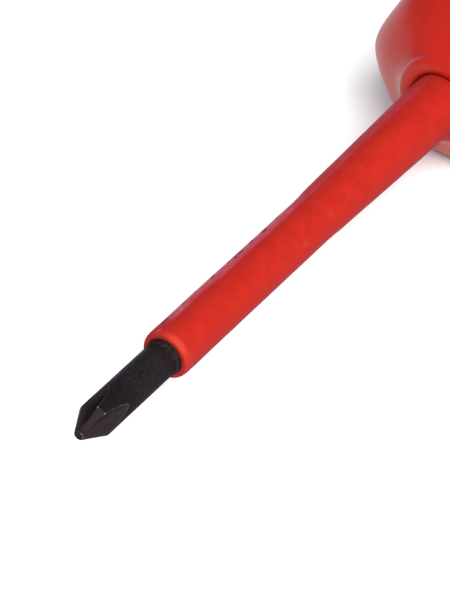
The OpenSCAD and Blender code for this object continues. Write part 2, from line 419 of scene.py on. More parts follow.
def sleeve_red():
    """Red insulation, dull but for one side that is rubbed smooth, with dirt in its nicks, and painted
    highlight, shade and reflection in its colour.
    """
    paint = Paint("sleeve_red")
    along, roll = paint.along(), paint.roll()
    back = paint.math("SUBTRACT", along, span("blade_sleeve")[0])
    cloud = paint.noise(2.2, detail=5, roughness=0.6)
    fine = paint.noise(0.2, detail=3, roughness=0.7)
    colour = paint.mix(paint.ramp(cloud, 0.32, 0.66), RED_DEEP, RED_CLEAR)
    colour = paint.mix(paint.ramp(fine, 0.35, 0.7, 0, 0.4), colour, RED_GRAIN)
    # Painted highlight on the front edge's round
    colour = paint.mix(sleeve_rim_highlight(paint, back, roll), colour, RED_RIM_HIGHLIGHT)
    # Painted shade on the front face
    colour = paint.mix(paint.ramp(back, 0.12, 0.03, 0, 0.5), colour, RED_FACE_SHADE)
    specks = paint.ramp(paint.noise(0.3, detail=0), 0.84, 0.88, 0, 0.15)
    colour = paint.mix(specks, colour, RED_SPECK)
    # Painted shade by roll: darker on the upper side, on the lower side, and darker and purplish
    # underneath
    colour = paint.mix(paint.ramp(roll, 30, -15, 0, 0.4), colour, RED_UPPER_SHADE)
    colour = paint.mix(paint.ramp(roll, 40, 95, 0, 0.5), colour, RED_LOWER_SHADE)
    colour = paint.mix(paint.ramp(roll, 82, 115, 0, 0.7), colour, RED_UNDER_SHADE)
    rubbed = sleeve_rubbing_and_reflection(paint, along, back, roll)
    # Painted reflection of the bluish back light, a pale pink tint over the rubbed side
    colour = paint.mix(paint.times(rubbed, 0.8), colour, RUBBED_SIDE_REFLECTION)
    lines = paint.noise(0.16, detail=2, vector=paint.stretched(0.05, 1, 1))
    patches = paint.times(rubbed, paint.ramp(paint.noise(5), 0.45, 0.6))
    scratch = paint.times(paint.ramp(lines, 0.56, 0.68), patches)
    scuff = paint.times(paint.mark("wear"), paint.ramp(paint.noise(0.4, detail=1), 0.35, 0.55, 0.3, 1))
    colour = paint.mix(paint.larger(paint.times(scratch, 0.45), scuff), colour, SCUFF_PINK)
    # Dirt in the nicks, and painted shade on the front face near the bead
    dirt = paint.ramp(paint.mark("dirt"), 0.15, 0.6, 0, 0.92)
    colour = paint.mix(dirt, colour, SLEEVE_DIRT_AND_SHADE)
    smooth = paint.times(paint.times(rubbed, paint.math("SUBTRACT", 1.0, dirt)), 0.26)
    return paint.finish(
        Base_Color=colour,
        Roughness=paint.math("SUBTRACT", paint.ramp(cloud, 0.3, 0.7, 0.56, 0.64), smooth),
        Specular_IOR_Level=0.022,
        Normal=paint.bump(paint.plus(fine, paint.times(scratch, 0.6)), 0.012, 0.6))


def moulded(name, base, deep, size, rough, grain, height):
    """A plastic that varies slowly in colour and gloss, with the fine grain of its mould."""
    paint = Paint(name)
    cloud = paint.noise(size, detail=5, roughness=0.6)
    handled = paint.ramp(paint.noise(size * 2.3, detail=3), 0.4, 0.7)
    return paint.finish(
        Base_Color=paint.mix(paint.ramp(cloud, 0.3, 0.7), deep, base),
        Roughness=paint.plus(paint.ramp(cloud, 0.3, 0.7, *rough), paint.times(handled, 0.06)),
        Specular_IOR_Level=0.2,
        Normal=paint.bump(paint.noise(grain, detail=2), height, 0.6))


# The handle's plastics: colour, its deeper patches and their size, roughness from the patches to
# the rest, and the size and height of the mould's grain
PLASTICS = {
    "core_grey": (shade(0.07, 0.07, 0.075), shade(0.05, 0.05, 0.055), 6, (0.4, 0.5), 0.4, 0.02),
    "shell_red": (shade(0.33, 0.0095, 0.0045), shade(0.28, 0.0075, 0.0035), 9, (0.24, 0.32), 0.3, 0.01),
    "grip_black": (shade(0.012, 0.012, 0.013), shade(0.008, 0.008, 0.009), 4, (0.55, 0.7), 0.25, 0.03),
    "cap_black": (shade(0.014, 0.014, 0.016), shade(0.01, 0.01, 0.011), 5, (0.42, 0.52), 0.2, 0.02),
    "disc_yellow": (shade(0.44, 0.28, 0.01), shade(0.39, 0.24, 0.008), 3, (0.25, 0.33), 0.3, 0.008)}
MATERIALS = {name: moulded(name, *settings) for name, settings in PLASTICS.items()}
MATERIALS["dark_steel"] = dark_steel()
MATERIALS["seal_compound"] = seal_compound()
MATERIALS["sleeve_red"] = sleeve_red()


# ---- Blade ----

SHANK_R = 2.25
TIP_R = 0.62
TIP_ANGLE = math.radians(27)
FLUTE_ROOT = 0.52
FLUTE_FLOOR = 0.13
FLUTE_SLOPE = math.radians(6.5)
FLUTE_FLANK = math.radians(44)
FLUTE_STRAIGHT = 2.2
FLUTE_RUNOUT = 13.8
FLUTES = 4
WING_ROLL = 26
# How softly the walls of the tip meet: a flute's floor and flanks, the edges of the flutes, the
# shoulder between cone and shank, and the edge of the end flat
ROOT_ROUND = 0.5
EDGE_ROUND = 0.05
SHOULDER_ROUND = 0.08
END_ROUND = 0.07
# The tip's surface is found along rays: a fan from its heart, then square rays from rows along
# the axis, as stretches of start, end and step
TIP_HEART = 1.0
FAN_STEPS = 43
RAY_ROWS = ((TIP_HEART, 5.4, 0.07), (5.4, 8, 0.15), (8, 17.6, 0.6))
RAY_LIMIT = 4.0
MET_R = 0.8
# Columns on each side of a flute's edge, how much they crowd there, and the edge's least and
# greatest turn from the flute's middle
FLUTE_COLUMNS = (18, 14)
CROWDING = 1.5
EDGE_TURNS = (math.radians(7), math.radians(38))
# Rings of the steel that the sleeve and handle hide, and the chamfer at its rear
HIDDEN_RINGS = (40, 90)
REAR_CHAMFER = 0.6
# Width of the wear on edges, what the flute's side of an edge adds, and the width on corners
EDGE_WEAR = 0.08
EDGE_WEAR_INSIDE = 0.04
CORNER_WEAR = 0.11
# Wear on the edges of the cone and on the shoulder, as a share of the most
CONE_WEAR = 0.2
SHOULDER_WEAR = 0.25
# Distances over which one wall's marks give way to the next's, and to the end flat's
WALL_FADE = 0.04
END_CLEAR = 0.1
# Dirt on the end flat, and in a flute how deep below the outside the painted shade starts and is full
END_DIRT = 0.15
DEEP_START, DEEP_FULL = 0.1, 0.8
# How much painted shade each flute gets, from the one nearest -Y round to the one nearest +Z
FLUTE_SHADE = (0.0, 0.3, 0.3, 0.8)
# How far each flute's wings are rubbed at the end flat, in the same order
RUBBED_END = (0.85, 0.3, 0.3, 0.45)
# The same for each flute's run-out edges and shoulder corners, on its lower and its higher roll
RUBBED_EDGES = ((0.42, 0.36), (0.36, 0.42), (0.42, 0.36), (0.12, 0.46))
RUBBED_CORNERS = ((1.0, 0.3), (0.3, 0.5), (0.5, 0.4), (0.4, 1.0))


def flute_depth(x, out, side):
    """How deep inside the nearest flute a point is, measured to its floor and flanks."""
    root = FLUTE_ROOT + FLUTE_STRAIGHT * math.tan(FLUTE_SLOPE)
    dx, dz = x - FLUTE_STRAIGHT, out - root
    along = dx * math.cos(FLUTE_SLOPE) + dz * math.sin(FLUTE_SLOPE)
    above = dz * math.cos(FLUTE_SLOPE) - dx * math.sin(FLUTE_SLOPE)
    runout = FLUTE_RUNOUT - np.hypot(along, FLUTE_RUNOUT - above)
    height = np.where(along > 0, runout, above)
    flank = height * math.sin(FLUTE_FLANK) - (np.abs(side) - FLUTE_FLOOR) * math.cos(FLUTE_FLANK)
    return smooth_min(flank, height, ROOT_ROUND)


def blade_walls(x, radius, turn):
    """Signed distances from a point to the cone, the shank, the flutes and the end flat."""
    cone = (radius - TIP_R - x * math.tan(TIP_ANGLE)) * math.cos(TIP_ANGLE)
    flute = flute_depth(x, radius * np.cos(turn), radius * np.sin(turn))
    return cone, radius - SHANK_R, flute, -x


def outside_blade(x, radius, turn):
    """How far outside the blade a point is, with its edges softened."""
    cone, shank, flute, end = blade_walls(x, radius, turn)
    body = smooth_max(cone, shank, SHOULDER_ROUND)
    return smooth_max(smooth_max(body, flute, EDGE_ROUND), end, END_ROUND)


def solve(function, low, high, steps=36):
    """Where a rising function crosses zero, by halving."""
    for _ in range(steps):
        middle = (low + high) / 2
        above = function(middle) > 0
        low, high = np.where(above, low, middle), np.where(above, middle, high)
    return (low + high) / 2


def outer_radius(x):
    """Radius of the cone and then the shank, before any flute is cut."""
    return np.minimum(SHANK_R, TIP_R + x * math.tan(TIP_ANGLE))


def flute_turns(x):
    """Turns from a flute's middle round one quarter, closest together at the flute's edge."""
    wing = math.pi / FLUTES
    edge_r = outer_radius(x)

    def beyond(turn):
        return -flute_depth(x, edge_r * np.cos(turn), edge_r * np.sin(turn))

    edge = solve(beyond, np.zeros_like(x), np.full_like(x, wing))
    edge = np.clip(edge, *EDGE_TURNS)[:, None]
    inner, outer = FLUTE_COLUMNS
    near = edge * (1 - (1 - np.linspace(0, 1, inner + 1)) ** CROWDING)
    far = edge + (wing - edge) * np.linspace(0, 1, outer + 1)[1:] ** CROWDING
    half = np.hstack([near, far])
    return np.hstack([-half[:, :0:-1], half[:, :-1]])


def blade_marks(x, radius, turn, flute_number):
    """Wear on edges and corners, ground faces, dirt on the end flat, and painted shade in this flute.
    """
    cone, shank, flute, end = blade_walls(x, radius, turn)
    outside = np.maximum(cone, shank)

    def near(a, b, width=EDGE_WEAR):
        return np.exp(-((a - b) / width) ** 2)

    wing_end = near(cone, end) * smooth_step(0.0, WALL_FADE, cone - flute)
    corner = near(cone, shank, CORNER_WEAR) * near(outside, flute, CORNER_WEAR)
    corner = corner * np.where(turn < 0, *RUBBED_CORNERS[flute_number])
    rim = near(outside, flute, EDGE_WEAR + EDGE_WEAR_INSIDE * (flute < outside))
    rim = rim * (end < outside - END_CLEAR)
    rim = rim * np.where(shank > cone, np.where(turn < 0, *RUBBED_EDGES[flute_number]), CONE_WEAR)
    shoulder = SHOULDER_WEAR * near(cone, shank) * (flute < outside)
    wear = np.max([rim, shoulder, RUBBED_END[flute_number] * wing_end, corner], axis=0)
    ground = smooth_step(-WALL_FADE, WALL_FADE, np.maximum(cone, flute) - shank)
    deep = smooth_step(DEEP_START, DEEP_FULL, outer_radius(x) - radius)
    # Painted shade in the flute, darker towards its root
    shade_in_flute = FLUTE_SHADE[flute_number] * (flute > outside) * (0.3 + 0.7 * deep)
    return {"wear": wear, "ground": ground, "dirt": np.maximum(shade_in_flute, END_DIRT * (end > outside))}


def blade_front():
    """Places, radii and turns of one quarter of the blade's shown surface, with a flute in it."""
    fan = np.radians(np.linspace(0, 90, FAN_STEPS, endpoint=False))
    rows = np.concatenate([np.arange(*stretch) for stretch in RAY_ROWS])
    heart = np.concatenate([np.full(len(fan), TIP_HEART), rows])
    lean = np.concatenate([np.cos(fan), np.zeros(len(rows))])
    rise = np.concatenate([np.sin(fan), np.ones(len(rows))])
    # About where each ray meets the surface, so that its columns crowd at the flute's edge there
    met = np.clip(heart - MET_R * lean / np.maximum(rise, 0.1), 0, None)
    turn = flute_turns(met)
    heart, lean, rise = heart[:, None], lean[:, None], rise[:, None]
    reach = solve(lambda t: outside_blade(heart - t * lean, t * rise, turn),
                  np.zeros_like(turn), np.full_like(turn, RAY_LIMIT))
    return heart - reach * lean, reach * rise, turn


def make_blade():
    """The steel from its end flat to its hidden rear."""
    x, radius, turn = blade_front()
    step = 360 / FLUTES
    rolls = [WING_ROLL + step / 2 + step * k + np.degrees(turn) for k in range(FLUTES)]
    front = np.concatenate([at_roll(x, roll, radius) for roll in rolls], axis=1)
    last = np.concatenate([roll[-1] for roll in rolls])
    rear = span("blade")[1]
    hidden = [(place, SHANK_R) for place in (*HIDDEN_RINGS, rear - REAR_CHAMFER)]
    hidden += [(rear, SHANK_R - REAR_CHAMFER), (rear, 0)]
    back = np.stack([at_roll(place, last, ring_r) for place, ring_r in hidden])
    around = [blade_marks(x, radius, turn, k) for k in range(FLUTES)]
    marks = {}
    for name in around[0]:
        shown = np.concatenate([part[name] for part in around], axis=1)
        marks[name] = np.concatenate([shown, np.zeros(back.shape[:2])])
    skin = Skin()
    skin.sheet(np.concatenate([front, back]), wrap=True, **marks)
    skin.build("steel_blade", "blade", "dark_steel")


# ---- Bead of compound ----

# Outline of the bead, as distance behind the sleeve's front face and radius
BEAD = [(1, SHANK_R), (0.5, 2.31), (0.1, 2.36), (-0.12, 2.355),
        (-0.3, 2.34), (-0.5, 2.31), (-0.7, 2.275), (-0.85, SHANK_R)]
BEAD_COLUMNS = 144
# Lumps of the bead, as size and height, the deepest hollow between them, and how much more they
# move its surface along the steel than out
BEAD_LUMPS = ((0.35, 0.11), (1.4, 0.06))
BEAD_HOLLOW = 0.04
BEAD_CREEP = 1.5


def make_seal():
    """The uneven bead that closes the sleeve's mouth."""
    front = span("blade_sleeve")[0]
    roll = np.linspace(0, 360, BEAD_COLUMNS, endpoint=False)
    rows = []
    for back, radius in BEAD:
        row = at_roll(front + back, roll, radius)
        lump = sum(speckle(row, size) * height for size, height in BEAD_LUMPS)
        free = smooth_step(SHANK_R, SHANK_R + 0.1, radius) * (back < 0.2)
        lifted = radius + np.maximum(lump, -BEAD_HOLLOW) * free
        rows.append(at_roll(front + back - BEAD_CREEP * lump * free, roll, lifted))
    rows.append(rows[0])
    skin = Skin()
    skin.sheet(np.stack(rows), wrap=True)
    skin.build("seal_bead", "mouth_seal", "seal_compound")


# ---- Insulating sleeve ----

SLEEVE_R = 3.2
# The mouth that the bead fills: its radius, how deep it goes, and its softened lip to the face
MOUTH_R = 2.36
MOUTH_DEPTH = 1.0
MOUTH_LIP = [(0.12, 0), (0.05, 0.03), (0.01, 0.1)]
# Radii of the rings of the front face, and the length and height of its round edge
FACE_RINGS = (2.57, 2.71, 2.84)
NOSE_X = 1.1
NOSE_R = 0.3
RAMP_START = 48.6
RAMP_LEN = 3.8
RAMP_R = 3.37
ROOT_R = 4.05
# The flange that keys the sleeve in the handle
FLANGE = [(86, ROOT_R), (86, 5.6), (89, 5.6), (89, ROOT_R)]
# The sleeve's columns and its rows, which are fine up to one place and then coarse to the flange
SLEEVE_COLUMNS = 160
NOSE_ROWS = 14
FINE_ROW, COARSE_ROW = 0.2, 0.8
FINE_END = 62
# Waves in the sleeve's surface, as size and height, and the most they may add
SLEEVE_WAVES = ((5, 0.03), (1.1, 0.01))
SLEEVE_SWELL = 0.02
# Size and height of the unevenness of its front edge along the axis
EDGE_WAVE = (1.8, 0.05)
# Painted shade on the face near the bead, the radii between which it fades in, and the depth of nick
# that is full of dirt
FACE_SHADE = 0.36
FACE_SHADE_FADE = (2.75, 2.45)
FULL_NICK = 0.07
# Nicks in the sleeve: place, roll, half length, half width, depth
NICKS = [
    (19.4, -33, 0.35, 0.24, 0.06), (20.1, -36, 0.50, 0.24, 0.07), (21.6, -42, 0.30, 0.20, 0.05),
    (23.6, -37, 0.40, 0.20, 0.05), (26.4, -41, 0.50, 0.20, 0.06), (30.0, -39, 0.35, 0.30, 0.09),
    (31.0, -35, 0.50, 0.14, 0.03), (33.4, -38, 0.30, 0.22, 0.06), (34.6, -34, 0.35, 0.26, 0.09),
    (35.8, -36, 0.60, 0.26, 0.09), (38.4, -40, 0.55, 0.30, 0.09), (40.9, -35, 0.55, 0.32, 0.10),
    (44.0, -39, 0.35, 0.26, 0.06), (19.0, 116, 0.35, 0.40, 0.08), (28.7, 112, 0.35, 0.20, 0.05),
    (36.2, 111, 0.35, 0.25, 0.06), (35.2, -14, 0.30, 0.20, 0.03), (56.0, -20, 0.4, 0.1, 0.03),
    (26.0, 170, 0.5, 0.15, 0.06), (44.0, 205, 0.4, 0.2, 0.06), (64.0, 250, 0.6, 0.15, 0.05)]
# Pale scuffs on the sleeve: place, roll, half length, half width, strength
SCUFFS = [
    (20.8, -21, 0.5, 0.07, 0.7), (22.1, -22, 0.8, 0.08, 0.8), (23.2, -20, 0.4, 0.07, 0.6),
    (26.0, -23, 0.4, 0.08, 0.3), (31.5, -22, 0.5, 0.08, 0.3), (33.0, -27, 0.4, 0.10, 0.35),
    (17.6, -22, 0.3, 0.14, 0.4), (43.0, 65, 0.5, 0.35, 0.05), (49.4, 51, 0.5, 0.40, 0.05)]


def taper_radius(x):
    """Radius of the sleeve along its straight part, short ramp and slow taper."""
    ramp_end = RAMP_START + RAMP_LEN
    handle = span("handle_shell")[0]
    t = np.clip((x - RAMP_START) / RAMP_LEN, 0, 1)
    rise = RAMP_LEN * (ROOT_R - RAMP_R) / (handle - ramp_end)
    ramp = SLEEVE_R + (RAMP_R - SLEEVE_R) * (3 * t ** 2 - 2 * t ** 3) + rise * (t ** 3 - t ** 2)
    return ramp + (ROOT_R - RAMP_R) * np.clip((x - ramp_end) / (handle - ramp_end), 0, 1)


def sleeve_outline():
    """The sleeve's closed outline as places and radii, from its mouth forward and round."""
    front, rear = span("blade_sleeve")
    inside = [(front + MOUTH_DEPTH, SHANK_R)]
    lip = [(front + back, MOUTH_R + wider) for back, wider in MOUTH_LIP]
    face = [(front, radius) for radius in FACE_RINGS]
    curve = np.radians(np.linspace(0, 90, NOSE_ROWS))
    nose_x = front + NOSE_X * (1 - np.cos(curve))
    nose = np.stack([nose_x, SLEEVE_R - NOSE_R * (1 - np.sin(curve))], axis=1)
    fine = np.arange(front + NOSE_X + FINE_ROW, FINE_END, FINE_ROW)
    places = np.concatenate([fine, np.arange(FINE_END, FLANGE[0][0], COARSE_ROW)])
    body = np.stack([places, taper_radius(places)], axis=1)
    hidden = [*FLANGE, (rear, ROOT_R), (rear, SHANK_R), (front + MOUTH_DEPTH, SHANK_R)]
    return np.concatenate([inside, lip, face, nose, body, hidden])


def make_sleeve():
    """The sleeve, uneven as worn plastic is, with its nicks as dents and its scuffs as marks."""
    front = span("blade_sleeve")[0]
    outline = sleeve_outline()
    roll = np.linspace(0, 360, SLEEVE_COLUMNS, endpoint=False)[None, :]
    x = np.repeat(outline[:, :1], roll.size, axis=1)
    radius = np.repeat(outline[:, 1:], roll.size, axis=1)
    points = at_roll(x, roll, radius)

    def spot(place, middle, length, width):
        sideways = np.radians((roll - middle + 180) % 360 - 180)
        return np.exp(-((x - place) / length) ** 2 - (sideways * radius / width) ** 2)

    shown = (x >= front) & (x < span("handle_shell")[0]) & (radius > MOUTH_R)
    change = sum(height * speckle(points, size) for size, height in SLEEVE_WAVES)
    # Painted shade on the front face near the bead; the dirt in each nick follows
    dirt = FACE_SHADE * smooth_step(*FACE_SHADE_FADE, radius) * (x < front + 0.2)
    wear = np.zeros_like(x)
    for *where, depth in NICKS:
        share = spot(*where)
        change = change - depth * share
        dirt = np.maximum(dirt, share * min(1, depth / FULL_NICK))
    for *where, strength in SCUFFS:
        wear = np.maximum(wear, strength * spot(*where))
    size, height = EDGE_WAVE
    shift = height * speckle(points, size) * smooth_step(front + 1.2, front, x)
    points = at_roll(x + shift * shown, roll, radius + np.minimum(change, SLEEVE_SWELL) * shown)
    skin = Skin()
    skin.sheet(points, wrap=True, dirt=dirt * shown, wear=wear * shown)
    skin.build("red_sleeve", "blade_sleeve", "sleeve_red")


# ---- Outline of the handle ----

ACROSS_FLATS = (cad_high.z - cad_low.z) / MM
# Share of the crest radius left at a flat's middle, and how far an uncut flat stays outside it
FLAT_SHARE = 0.93
FLAT_CLEAR = 1.0
GUARD_R = ACROSS_FLATS / 2 / FLAT_SHARE
# How far the soft parts stand proud, and the share at the belly that leaves room for that
PAD_PROUD = 0.3
BELLY = 1 - PAD_PROUD / (ACROSS_FLATS / 2)
LOBE_ROUND = 1.2
LOBES = 6
LOBE_STEP = 360 / LOBES
# Stations along the handle: distance, crest radius as a share of the guard's, cut of the flats
STATIONS = np.array([
    [0, 0.38, 0], [2, 0.52, 0.1], [4.5, 0.78, 0.5], [7, 0.96, 0.9], [8.5, 1, 1], [11, 1, 1],
    [13, 0.92, 0.8], [16, 0.77, 0.3], [19, 0.7, 0], [24, 0.68, 0], [29, 0.73, 0.1],
    [36, 0.86, 0.6], [45, 0.955, 1], [56, BELLY, 1], [67, 0.96, 1], [78, 0.91, 1], [88, 0.87, 1]])


def follow(x, column):
    """Smooth curve through one column of the stations, never past 0 or 1."""
    place, value = STATIONS[:, 0], STATIONS[:, column]
    slope = np.empty_like(value)
    slope[1:-1] = (value[2:] - value[:-2]) / (place[2:] - place[:-2])
    slope[0] = (value[1] - value[0]) / (place[1] - place[0])
    slope[-1] = (value[-1] - value[-2]) / (place[-1] - place[-2])
    i = np.clip(np.searchsorted(place, x, side="right") - 1, 0, len(place) - 2)
    h = place[i + 1] - place[i]
    t = (x - place[i]) / h
    rest = (2 * t ** 3 - 3 * t ** 2 + 1) * value[i] + (3 * t ** 2 - 2 * t ** 3) * value[i + 1]
    bend = (t ** 3 - 2 * t ** 2 + t) * h * slope[i] + (t ** 3 - t ** 2) * h * slope[i + 1]
    return np.clip(rest + bend, 0, 1)


def lobed(crest, cut, roll):
    """Radius of a round section whose six flats are cut by this share."""
    flat = crest * (1 - (1 - FLAT_SHARE) * cut) + (1 - cut) * FLAT_CLEAR
    turn = np.radians((roll + LOBE_STEP / 2) % LOBE_STEP - LOBE_STEP / 2)
    return smooth_min(crest, flat / np.cos(turn), LOBE_ROUND)


def shell_radius(x, roll):
    """Radius of the hard shell's outside."""
    local = np.clip(x - span("handle_shell")[0], 0, STATIONS[-1, 0])
    return lobed(GUARD_R * follow(local, 1), follow(local, 2), roll)


# The cap's crest radius at its front and its end, as shares of the guard's, and how it bends
CAP_SHARE = 0.87
CAP_END_SHARE = 0.43
CAP_POWER = 3
CAP_ROUND = 0.6


def cap_radius(x, roll):
    """Radius of the end cap's outside, a dome with six flats."""
    start, end = span("end_cap")
    left = np.clip(1 - ((x - start) / (end - start)) ** CAP_POWER, 0, 1)
    share = CAP_END_SHARE + (CAP_SHARE - CAP_END_SHARE) * left ** CAP_ROUND
    return lobed(GUARD_R * share, 1, roll)


# ---- Patches round a pad or a hole in one flat ----

def stadium(long_steps, short_steps, straight, radius):
    """Points round a stadium, in four runs that meet on its round ends at 45 degrees."""
    radius = max(radius, 1e-6)
    eighth = math.pi / 4 * radius
    s = np.linspace(0, 2 * eighth + straight, long_steps + 1)[:-1]
    slid = np.clip(s - eighth, 0, straight)
    angle = math.radians(225) + (s - slid) / radius
    lower = np.stack([slid - straight / 2 + radius * np.cos(angle), radius * np.sin(angle)], axis=1)
    angle = np.radians(np.linspace(-45, 45, short_steps + 1)[:-1])
    right = np.stack([straight / 2 + radius * np.cos(angle), radius * np.sin(angle)], axis=1)
    return np.concatenate([lower, right, -lower, -right])


def window(long_steps, short_steps, low, high):
    """The four edges of one flat's stretch of the handle, as places and turns, in matching runs."""
    place = np.linspace(low, high, long_steps + 1)
    turn = np.linspace(-LOBE_STEP / 2, LOBE_STEP / 2, short_steps + 1)
    lower = np.stack([place[:-1], np.full(long_steps, turn[0])], axis=1)
    right = np.stack([np.full(short_steps, high), turn[:-1]], axis=1)
    upper = np.stack([place[:0:-1], np.full(long_steps, turn[-1])], axis=1)
    left = np.stack([np.full(short_steps, low), turn[:0:-1]], axis=1)
    return np.concatenate([lower, right, upper, left])


def turn_of(x, side, radius_at, rounds=6):
    """Turn, in degrees, at which the surface is this far sideways from the flat's middle."""
    turn = np.zeros_like(side)
    for _ in range(rounds):
        turn = np.degrees(np.arcsin(np.clip(side / radius_at(x, turn), -1, 1)))
    return turn


# A rounded lip or edge: distance from where the surface ends, and depth below the surface there
LIP = [(0.5, 0.0), (0.3, 0.02), (0.17, 0.07), (0.08, 0.15), (0.02, 0.27), (0.0, 0.4)]
# From an edge back to the nearest ring or loop that its lip doesn't round
LIP_CLEAR = 0.7
# Loops between an opening's lip and its window's edges, as shares of the way
BORDER_SHARES = (0.2, 0.42, 0.7, 1.0)


def framed_opening(centre, straight, radius, low, high, steps, radius_at):
    """Loops from a window's edges in to the rounded lip of an opening, as (x, turn, depth)."""
    long_steps, short_steps = steps
    border = window(long_steps, short_steps, low, high)
    loops = []
    for spread, depth in LIP:
        loop = stadium(long_steps, short_steps, straight, radius + spread)
        x = centre + loop[:, 0]
        loops.append((x, turn_of(x, loop[:, 1], radius_at), depth))
    x, turn, _ = loops[0]
    for share in BORDER_SHARES:
        loops.insert(0, (x + (border[:, 0] - x) * share, turn + (border[:, 1] - turn) * share, 0.0))
    return loops


def close_loop(loop):
    """A loop of points with its first point again at the end."""
    return np.concatenate([loop, loop[:1]])


# ---- Handle shell ----

SECTOR_STEPS = 20
RING_ROLLS = np.linspace(-LOBE_STEP / 2, 360 - LOBE_STEP / 2, LOBES * SECTOR_STEPS, endpoint=False)
PAD_W = 10.0
PAD_FLOOR = 10.6
PAD_STEPS = (36, SECTOR_STEPS)
PAD_ZONE_MARGIN = 2.5
FINGER_FLOOR = 8.6
CORE_R = 7.4
# The shell's hole for the sleeve, its chamfer, and the round nose from the hole out
SLEEVE_HOLE_R = 4.15
HOLE_CHAMFER = (0.12, 0.5, 0.2)
NOSE_START_R = 4.7
NOSE_LEN = 1.0
# Rings round the nose, from there to the finger grip, and on each side of the pads' pockets
NOSE_RINGS = 9
GUARD_RINGS = 46
ZONE_RINGS = 8


def ring(x, radius):
    """A ring of points, with columns at the middle and the ends of every flat."""
    return at_roll(x, RING_ROLLS, radius)


def shell_ring(x, depth=0.0):
    """A ring this deep below the shell's outside."""
    return ring(x, shell_radius(x, RING_ROLLS) - depth)


def edge_rings(x, direction, ring_at):
    """Rings that round an edge off, towards it: direction is where the solid ends."""
    return [ring_at(x - direction * back, depth) for back, depth in LIP]


def pad_zone():
    """Where the pads start and end, and where the stretch of shell round their pockets does."""
    low, high = span("palm_pad_1")
    return low, high, low - PAD_ZONE_MARGIN, high + PAD_ZONE_MARGIN


def nose_rings(start):
    """Rings round the shell's nose, from the sleeve's hole out to the full section."""
    wide = shell_radius(start + NOSE_LEN, RING_ROLLS)
    rings = []
    for angle in np.radians(np.linspace(0, 90, NOSE_RINGS)):
        place = start + NOSE_LEN * (1 - math.cos(angle))
        rings.append(ring(place, NOSE_START_R + (wide - NOSE_START_R) * math.sin(angle)))
    return rings


def make_shell():
    """The shell: rings from behind its pockets round its rear, forward through its bore and back
    along its outside, and then the six flats with their pockets."""
    start, end = span("handle_shell")
    core_start = span("handle_core")[0]
    finger_low, finger_high = span("finger_grip")
    low, high, zone_low, zone_high = pad_zone()
    chamfer_low, chamfer_high, chamfer_rise = HOLE_CHAMFER
    rings = [shell_ring(x) for x in np.linspace(zone_high, end - LIP_CLEAR, ZONE_RINGS)]
    rings += edge_rings(end, 1, shell_ring)
    rings += [ring(end, CORE_R), ring(core_start, CORE_R), ring(core_start, SLEEVE_HOLE_R)]
    rings += [ring(start + chamfer_high, SLEEVE_HOLE_R)]
    rings += [ring(start + chamfer_low, SLEEVE_HOLE_R + chamfer_rise)]
    rings += nose_rings(start)
    guard = np.linspace(start + NOSE_LEN + 0.3, finger_low - LIP_CLEAR, GUARD_RINGS)
    rings += [shell_ring(x) for x in guard]
    rings += edge_rings(finger_low, 1, shell_ring)
    rings += [ring(finger_low, FINGER_FLOOR), ring(finger_high, FINGER_FLOOR)]
    rings += edge_rings(finger_high, -1, shell_ring)[::-1]
    rings += [shell_ring(x) for x in np.linspace(finger_high + LIP_CLEAR, zone_low, ZONE_RINGS)]
    skin = Skin()
    skin.sheet(np.stack(rings), wrap=True)
    centre, straight = (low + high) / 2, high - low - PAD_W
    loops = framed_opening(centre, straight, PAD_W / 2, zone_low, zone_high, PAD_STEPS, shell_radius)
    for k in range(LOBES):
        roll = LOBE_STEP * k
        rows = [at_roll(x, roll + turn, shell_radius(x, turn) - depth) for x, turn, depth in loops]
        for radius in (PAD_W / 2, PAD_W / 4, 0):
            floor = stadium(*PAD_STEPS, straight, radius)
            rows.append(beside(centre + floor[:, 0], floor[:, 1], PAD_FLOOR, roll))
        skin.sheet(np.stack([close_loop(row) for row in rows]))
    skin.build("shell_skin", "handle_shell", "shell_red")


# ---- Soft parts ----

PAD_FINE = (220, 22)
RIB_PITCH = 2.5
RIB_HEIGHT = 0.26
RIB_SHARPNESS = 2.2
# Where a pad's ribs start and reach their height, inside its edge
RIB_START = (0.6, 1.5)
PAD_BASE = 0.04
# Round edge of a pad: distance inside its pocket's edge, and height over the shell's surface
PAD_EDGE = [(0.0, -0.45), (0.02, -0.3), (0.08, -0.15), (0.18, -0.06), (0.32, 0.0), (0.5, PAD_BASE)]
PAD_LOOPS = 17


def pad_rib(x, centre):
    """Height share of the cross ribs of a pad, wide and round, with narrow valleys."""
    wave = 0.5 + 0.5 * np.cos((x - centre) * 2 * math.pi / RIB_PITCH)
    return 1 - (1 - wave) ** RIB_SHARPNESS


def make_pad(k):
    """One palm pad: its hidden base and walls, a round edge, and a ribbed top."""
    low, high, _, _ = pad_zone()
    centre, straight = (low + high) / 2, high - low - PAD_W
    roll = LOBE_STEP * (k - 1)
    rows = []
    for radius in (0, PAD_W / 4, PAD_W / 2):
        base = stadium(*PAD_FINE, straight, radius)
        rows.append(beside(centre + base[:, 0], base[:, 1], PAD_FLOOR, roll))
    top = [(inset, PAD_BASE) for inset in np.linspace(LIP_CLEAR, PAD_W / 2, PAD_LOOPS)]
    for inset, lift in PAD_EDGE + top:
        loop = stadium(*PAD_FINE, straight, PAD_W / 2 - inset)
        x = centre + loop[:, 0]
        turn = turn_of(x, loop[:, 1], shell_radius)
        rib = pad_rib(x, centre) * smooth_step(*RIB_START, inset) * RIB_HEIGHT
        rows.append(at_roll(x, roll + turn, shell_radius(x, turn) + lift + rib))
    skin = Skin()
    skin.sheet(np.stack([close_loop(row) for row in rows]))
    skin.build(f"pad_skin_{k}", f"palm_pad_{k}", "grip_black")


GROOVES = 5
GROOVE_DEPTH = 0.34
GROOVE_SHARPNESS = 0.6
# Share of the grip over which its grooves fade in from each end, and its rings
GROOVE_FADE = (0.02, 0.1)
GRIP_RINGS = 90
GRIP_CLEAR = 0.65


